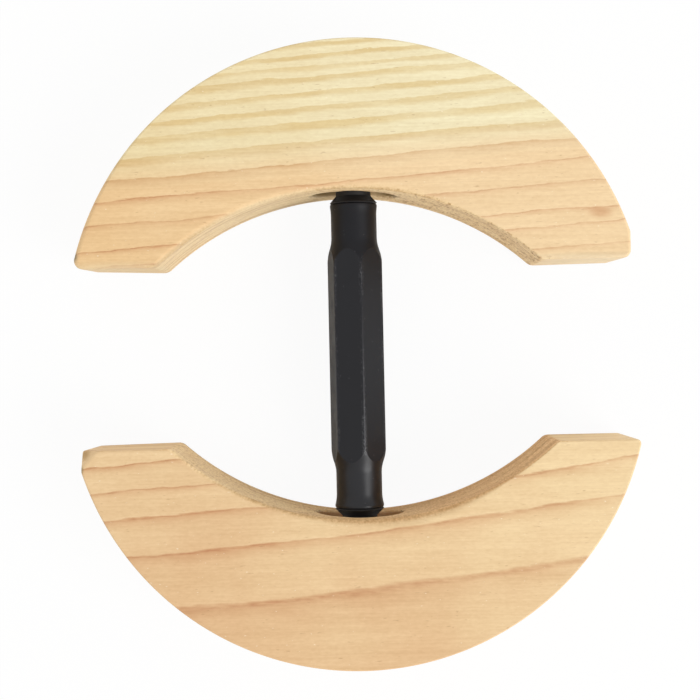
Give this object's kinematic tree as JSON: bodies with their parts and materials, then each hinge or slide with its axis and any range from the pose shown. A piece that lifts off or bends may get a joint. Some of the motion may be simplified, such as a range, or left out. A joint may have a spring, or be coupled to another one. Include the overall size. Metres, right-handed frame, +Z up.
{
  "type": "hat stretcher",
  "caption": "Crescent pine blocks joined by a hexagonal turnbuckle sleeve; turning the sleeve drives the blocks apart to stretch a hat band from inside.",
  "frame": {"origin": "on the table under the middle of the turnbuckle sleeve", "axes": "+Y along the turnbuckle towards the front block, +X to the right seen from above, +Z up"},
  "size_m": [0.1614, 0.181, 0.0318],
  "materials": {
    "front_pine": "bare sanded pine, yellowish sapwood and pink-tan heartwood",
    "rear_pine": "bare sanded pine, even peach tan",
    "sleeve_paint": "satin black paint, scuffed along one corner",
    "bush_black": "matt black oxide",
    "zinc_steel": "bright zinc plate"
  },
  "bodies": {
    "core": {"front_thread_bush": "bush_black", "rear_thread_bush": "bush_black"},
    "sleeve": {"turnbuckle_sleeve": "sleeve_paint"},
    "front": {"front_block": "front_pine", "front_stud": "zinc_steel", "front_anchor_plate": "zinc_steel", "front_jam_nut": "zinc_steel", "front_anchor_screws": "zinc_steel"},
    "rear": {"rear_block": "rear_pine", "rear_stud": "zinc_steel", "rear_anchor_plate": "zinc_steel", "rear_jam_nut": "zinc_steel", "rear_anchor_screws": "zinc_steel"}
  },
  "joints": [
    {"name": "sleeve_spin", "type": "hinge", "parent": "core", "child": "sleeve", "pos_m": [0, 0, 0.01588], "axis": [0, -1, 0], "range_deg": [0, 6481]},
    {"name": "front_slide", "type": "slide", "parent": "core", "child": "front", "axis": [0, 1, 0], "range_m": [0, 0.0254]},
    {"name": "rear_slide", "type": "slide", "parent": "core", "child": "rear", "axis": [0, -1, 0], "range_m": [0, 0.0254]}
  ],
  "couplings": [
    {"joint": "sleeve_spin", "follows": "front_slide", "rad_per_m": 4452.7},
    {"joint": "rear_slide", "follows": "front_slide", "ratio": 1}
  ]
}
